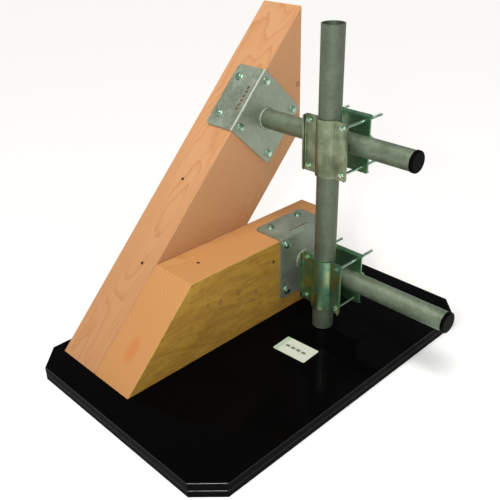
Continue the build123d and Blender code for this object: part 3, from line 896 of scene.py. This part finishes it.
def threaded_fastener_tree():
    """Puts a head on each point with a threaded shank behind it, turned by Turn."""
    sizes = ["Shank Radius", "Shank Length", "Thread Length", "Thread Pitch"]
    tree, given, head = new_tree("threaded_fastener", sizes)
    thread_depth = 0.6
    ridge_share = thread_depth / 2

    # a thread cuts in to its root, so the core is a thread's depth thinner than the shank
    root = add(
        tree,
        "ShaderNodeMath",
        {0: given["Thread Pitch"], 1: -thread_depth, 2: given["Shank Radius"]},
        operation="MULTIPLY_ADD",
    )
    core = add(
        tree,
        "GeometryNodeMeshCylinder",
        {"Vertices": 20, "Radius": root, "Depth": given["Thread Length"]},
    )
    plain_length = add(
        tree,
        "ShaderNodeMath",
        {0: given["Shank Length"], 1: given["Thread Length"]},
        operation="SUBTRACT",
    )
    plain = add(
        tree,
        "GeometryNodeMeshCylinder",
        {"Vertices": 24, "Radius": given["Shank Radius"], "Depth": plain_length},
    )
    plain_middle = add(tree, "ShaderNodeMath", {0: plain_length, 1: -0.5}, operation="MULTIPLY")
    plain_place = add(tree, "ShaderNodeCombineXYZ", {"Z": plain_middle})
    plain_shank = add(
        tree, "GeometryNodeTransform", {0: plain.outputs["Mesh"], "Translation": plain_place}
    )
    half_thread = add(
        tree, "ShaderNodeMath", {0: given["Thread Length"], 1: -0.5}, operation="MULTIPLY"
    )
    core_middle = add(tree, "ShaderNodeMath", {0: half_thread, 1: plain_length}, operation="SUBTRACT")
    core_place = add(tree, "ShaderNodeCombineXYZ", {"Z": core_middle})
    core_shank = add(
        tree, "GeometryNodeTransform", {0: core.outputs["Mesh"], "Translation": core_place}
    )

    turns = add(
        tree,
        "ShaderNodeMath",
        {0: given["Thread Length"], 1: given["Thread Pitch"]},
        operation="DIVIDE",
    )
    turns_inside = add(tree, "ShaderNodeMath", {0: turns, 1: 1.0}, operation="SUBTRACT")
    height = add(
        tree, "ShaderNodeMath", {0: turns_inside, 1: given["Thread Pitch"]}, operation="MULTIPLY"
    )
    crest = add(
        tree,
        "ShaderNodeMath",
        {0: given["Thread Pitch"], 1: -ridge_share, 2: given["Shank Radius"]},
        operation="MULTIPLY_ADD",
    )
    helix = add(
        tree,
        "GeometryNodeCurveSpiral",
        {
            "Resolution": 14,
            "Rotations": turns_inside,
            "Start Radius": crest,
            "End Radius": crest,
            "Height": height,
        },
    )
    ridge_radius = add(
        tree, "ShaderNodeMath", {0: given["Thread Pitch"], 1: ridge_share}, operation="MULTIPLY"
    )
    ridge = add(
        tree,
        "GeometryNodeCurvePrimitiveCircle",
        {"Resolution": 4, "Radius": ridge_radius},
        mode="RADIUS",
    )
    thread = add(
        tree,
        "GeometryNodeCurveToMesh",
        {0: helix.outputs["Curve"], 1: ridge.outputs["Curve"], "Fill Caps": True},
    )
    thread_end = add(
        tree,
        "ShaderNodeMath",
        {0: given["Thread Pitch"], 1: 0.5, 2: given["Shank Length"]},
        operation="MULTIPLY_ADD",
    )
    thread_start = add(tree, "ShaderNodeMath", {0: thread_end, 1: -1.0}, operation="MULTIPLY")
    thread_low = add(
        tree, "ShaderNodeMath", {0: thread_start, 1: given["Thread Pitch"]}, operation="ADD"
    )
    thread_place = add(tree, "ShaderNodeCombineXYZ", {"Z": thread_low})
    thread_shank = add(
        tree, "GeometryNodeTransform", {0: thread.outputs["Mesh"], "Translation": thread_place}
    )

    whole = add(tree, "GeometryNodeJoinGeometry")
    shanks = [plain_shank.outputs[0], core_shank.outputs[0], thread_shank.outputs[0]]
    for piece in [head] + shanks:
        tree.links.new(piece, whole.inputs[0])
    return set_on_points(tree, given, whole.outputs[0])


def repeated_shape_tree():
    """Puts one shape on each point, turned by Turn."""
    return set_on_points(*new_tree("repeated_shape"))


def grown(name, tree, points, inputs):
    """Runs a tree on a set of points and returns the result as a plain mesh."""
    seeds = bpy.data.meshes.new(name + "_points")
    seeds.from_pydata([tuple(p) for p in points], [], [])
    carrier = bpy.data.objects.new(name + "_points", seeds)
    scene.collection.objects.link(carrier)
    modifier = carrier.modifiers.new("grow", "NODES")
    modifier.node_group = tree
    for item in tree.interface.items_tree:
        if item.item_type == "SOCKET" and item.in_out == "INPUT" and item.name in inputs:
            modifier[item.identifier] = inputs[item.name]
    bpy.context.view_layer.update()
    evaluated = carrier.evaluated_get(bpy.context.evaluated_depsgraph_get())
    data = bpy.data.meshes.new_from_object(evaluated)
    data.name = name
    made = bpy.data.objects.new(name, data)
    scene.collection.objects.link(made)
    bpy.data.objects.remove(carrier)
    return made


def joined(name, pieces):
    """Joins plain meshes into one object."""
    shape = bmesh.new()
    for piece in pieces:
        shape.from_mesh(piece.data)
    data = bpy.data.meshes.new(name)
    for material in pieces[0].data.materials:
        data.materials.append(material)
    shape.to_mesh(data)
    shape.free()
    for piece in pieces:
        bpy.data.objects.remove(piece)
    made = bpy.data.objects.new(name, data)
    scene.collection.objects.link(made)
    return made


def smooth_by_angle(piece, degrees_limit=35):
    """Shades gentle bends smooth and keeps real corners sharp."""
    limit = cos(radians(degrees_limit))
    shape = bmesh.new()
    shape.from_mesh(piece.data)
    for face in shape.faces:
        face.smooth = True
    for edge in shape.edges:
        if len(edge.link_faces) == 2:
            first, second = edge.link_faces
            edge.smooth = first.normal.dot(second.normal) > limit
    shape.to_mesh(piece.data)
    shape.free()


fastener_tree = threaded_fastener_tree()
repeat_tree = repeated_shape_tree()


def islands(name):
    """The separate solids of a CAD node, each as a list of its vertices' places."""
    shape = bmesh.new()
    shape.from_mesh(nodes[name].data)
    bmesh.ops.remove_doubles(shape, verts=shape.verts, dist=1e-6)
    left = set(shape.verts)
    found = []
    while left:
        start = left.pop()
        reached, growing = [start], [start]
        while growing:
            for edge in growing.pop().link_edges:
                for vert in edge.verts:
                    if vert in left:
                        left.remove(vert)
                        reached.append(vert)
                        growing.append(vert)
        found.append([vert.co.copy() for vert in reached])
    shape.free()
    return found


def seat_point(places, axis, from_top):
    """Where a fastener sits: its axis line, from_top below the highest point of its head."""
    top = max(p.dot(axis) for p in places)
    crown = 0.2 * MM
    head = [p for p in places if p.dot(axis) > top - crown]
    middle = sum(head, Vector()) / len(head)
    return middle - axis * from_top


def turn_to(axis):
    """Euler turn that takes +Z to an axis."""
    return tuple(axis.to_track_quat("Z", "Y").to_euler())


# ---------------------------------------------------------------- clamp bolts and nuts
BOLT_ACROSS = 11.6 * MM
BOLT_HEAD = 4 * MM
BOLT_RADIUS = 3 * MM
NUT_HEIGHT = 5 * MM
bolt_head = template("bolt_head", lambda shape: hexagon_head(shape, BOLT_ACROSS, BOLT_HEAD))
clamp_nut = template(
    "clamp_nut", lambda shape: hexagon_head(shape, BOLT_ACROSS, NUT_HEIGHT, BOLT_RADIUS * 1.01, True)
)
forward = Vector((-1, 0, 0))
for level in LEVELS:
    bolt_low, bolt_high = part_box(f"{level}_clamp_bolts")
    seats = [seat_point(places, forward, BOLT_HEAD) for places in islands(f"{level}_clamp_bolts")]
    bolts = grown(
        f"{level}_bolts",
        fastener_tree,
        seats,
        {
            "Shape": bolt_head,
            "Turn": turn_to(forward),
            "Shank Radius": BOLT_RADIUS,
            "Shank Length": bolt_high.x - bolt_low.x - BOLT_HEAD,
            "Thread Length": 75 * MM,
            "Thread Pitch": 1 * MM,
            "Finish": bolt_zinc,
        },
    )
    smooth_by_angle(bolts)
    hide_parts(f"{level}_clamp_bolts")
    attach(bolts, "clamps")

    nut_seats = [seat_point(places, -forward, NUT_HEIGHT) for places in islands(f"{level}_clamp_nuts")]
    nuts = grown(
        f"{level}_nuts",
        repeat_tree,
        nut_seats,
        {"Shape": clamp_nut, "Turn": turn_to(-forward), "Finish": bolt_zinc},
    )
    smooth_by_angle(nuts)
    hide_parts(f"{level}_clamp_nuts")
    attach(nuts, "clamps")

# ---------------------------------------------------------------- bracket screws
COACH_ACROSS = 15 * MM
COACH_FLANGE_RADIUS = 9.5 * MM
COACH_FLANGE = 1.8 * MM
COACH_HEAD = 5.5 * MM
COACH_LENGTH = 50 * MM


def coach_head(shape):
    """Hexagon head on a dished round flange, flat underneath."""
    hexagon_head(shape, COACH_ACROSS, COACH_HEAD)
    bmesh.ops.translate(shape, verts=shape.verts, vec=(0, 0, COACH_FLANGE))
    # each point is a share of the flange's radius and of its thickness
    profile = [(0.96, 0.0), (1.0, 0.25), (0.97, 0.62), (0.80, 1.0)]
    steps = 36
    rings = []
    for step in range(steps):
        angle = 2 * pi * step / steps
        direction = Vector((cos(angle), sin(angle), 0))
        ring = []
        for out, up in profile:
            place = direction * COACH_FLANGE_RADIUS * out + Vector((0, 0, COACH_FLANGE * up))
            ring.append(shape.verts.new(place))
        rings.append(ring)
    for step in range(steps):
        near, far = rings[step], rings[(step + 1) % steps]
        for i in range(len(near) - 1):
            shape.faces.new((near[i], far[i], far[i + 1], near[i + 1]))
    shape.faces.new([ring[-1] for ring in rings])
    shape.faces.new([ring[0] for ring in reversed(rings)])
    bmesh.ops.recalc_face_normals(shape, faces=shape.faces)


screw_head = template("screw_head", coach_head)
side_out = Vector((0, -1, 0))
top_out = {
    "upper": Vector((-sin(rafter_pitch), 0, cos(rafter_pitch))),
    "lower": Vector((0, 0, 1)),
}
for level in LEVELS:
    sets = {"side": (side_out, []), "top": (top_out[level], [])}
    for places in islands(f"{level}_bracket_screws"):
        # a side screw runs its whole length along Y, and a top one only its width
        depth = max(p.y for p in places) - min(p.y for p in places)
        facing = "side" if depth > COACH_LENGTH * 0.8 else "top"
        axis, seats = sets[facing]
        seats.append(seat_point(places, axis, COACH_HEAD + COACH_FLANGE))
    made = []
    for facing, (axis, seats) in sets.items():
        made.append(
            grown(
                f"{level}_{facing}_screws",
                fastener_tree,
                seats,
                {
                    "Shape": screw_head,
                    "Turn": turn_to(axis),
                    "Shank Radius": 4 * MM,
                    "Shank Length": COACH_LENGTH,
                    "Thread Length": 38 * MM,
                    "Thread Pitch": 3.5 * MM,
                    "Finish": bolt_zinc,
                },
            )
        )
    screws = joined(f"{level}_coach_screws", made)
    smooth_by_angle(screws)
    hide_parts(f"{level}_bracket_screws")
    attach(screws, "stand")


# ---------------------------------------------------------------- weld beads
def weld_bead(level):
    """A hand-run fillet weld round an arm's root: overlapping ripples, a little uneven."""
    low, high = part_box(f"{level}_arm_weld")
    tube_low, tube_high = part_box(f"{level}_arm_tube")
    tube_radius = (tube_high.x - tube_low.x) / 2
    middle_x, middle_z = (low.x + high.x) / 2, (low.z + high.z) / 2
    leg = (high.x - low.x) / 2 - tube_radius
    ripples = 46
    ripple_steps = 6
    steps = ripples * ripple_steps
    arc_steps = 7
    toe_size, ripple_rise, waver = 0.80, 0.13, 0.05
    crown = 0.10
    sunk = 0.2 * MM
    root = Vector((middle_x, high.y, middle_z))

    def build(shape):
        rings = []
        for step in range(steps):
            angle = 2 * pi * step / steps
            phase = (step % ripple_steps) / ripple_steps
            swell = toe_size + ripple_rise * sin(pi * phase) + waver * sin(3 * angle + 0.7)
            reach = leg * swell
            out = Vector((cos(angle), 0, sin(angle)))
            ring = []
            for k in range(arc_steps + 1):
                sweep = pi / 2 * k / arc_steps
                bulge = 1.0 + crown * sin(2 * sweep)
                away = tube_radius - sunk + reach * cos(sweep) * bulge
                off = reach * sin(sweep) * bulge
                ring.append(shape.verts.new(out * away + root - Vector((0, off, 0))))
            ring.append(shape.verts.new(out * (tube_radius - sunk) + root))
            rings.append(ring)
        count = len(rings[0])
        for step in range(steps):
            near, far = rings[step], rings[(step + 1) % steps]
            for i in range(count):
                j = (i + 1) % count
                shape.faces.new((near[i], far[i], far[j], near[j]))
        bmesh.ops.recalc_face_normals(shape, faces=shape.faces)

    bead = new_mesh(f"{level}_weld_bead", weld_zinc, build)
    smooth_by_angle(bead, 50)
    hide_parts(f"{level}_arm_weld")
    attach(bead, "stand")


weld_zinc = hot_dip_galvanised("galvanised_weld", "#b9c1b0", "#9aa292", "#788171", 2 * MM, 0.42)
for level in LEVELS:
    weld_bead(level)


# ---------------------------------------------------------------- label
def label_card():
    """A thin card with round corners, stuck down flat, its upper edge eased."""
    low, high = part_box("label_plate")
    width, length, thickness = 55 * MM, 88 * MM, high.z - low.z
    turn = radians(3)
    eased_from, eased_x, eased_y = 0.75, 0.99, 0.994
    middle = (low + high) / 2
    card = printed_card("label_card", (middle.x, middle.y, 0), turn, width, length)
    corner = 3 * MM
    corner_steps = 6

    def build(shape):
        outline = []
        for sx, sy, start in ((1, 1, 0), (-1, 1, 1), (-1, -1, 2), (1, -1, 3)):
            for k in range(corner_steps + 1):
                angle = pi / 2 * (start + k / corner_steps)
                x = sx * (width / 2 - corner) + corner * cos(angle)
                y = sy * (length / 2 - corner) + corner * sin(angle)
                outline.append((x, y))
        top = [shape.verts.new((x * eased_x, y * eased_y, thickness)) for x, y in outline]
        eased = [shape.verts.new((x, y, thickness * eased_from)) for x, y in outline]
        foot = [shape.verts.new((x, y, 0)) for x, y in outline]
        shape.faces.new(top)
        shape.faces.new(list(reversed(foot)))
        count = len(outline)
        for i in range(count):
            j = (i + 1) % count
            shape.faces.new((eased[i], eased[j], top[j], top[i]))
            shape.faces.new((foot[i], foot[j], eased[j], eased[i]))
        place = Matrix.Translation((middle.x, middle.y, low.z)) @ Matrix.Rotation(turn, 4, "Z")
        bmesh.ops.transform(shape, matrix=place, verts=shape.verts)
        bmesh.ops.recalc_face_normals(shape, faces=shape.faces)

    label = new_mesh("blank_label", card, build)
    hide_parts("label_plate")
    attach(label, "stand")


label_card()

for shape in (bolt_head, clamp_nut, screw_head):
    bpy.data.objects.remove(shape)
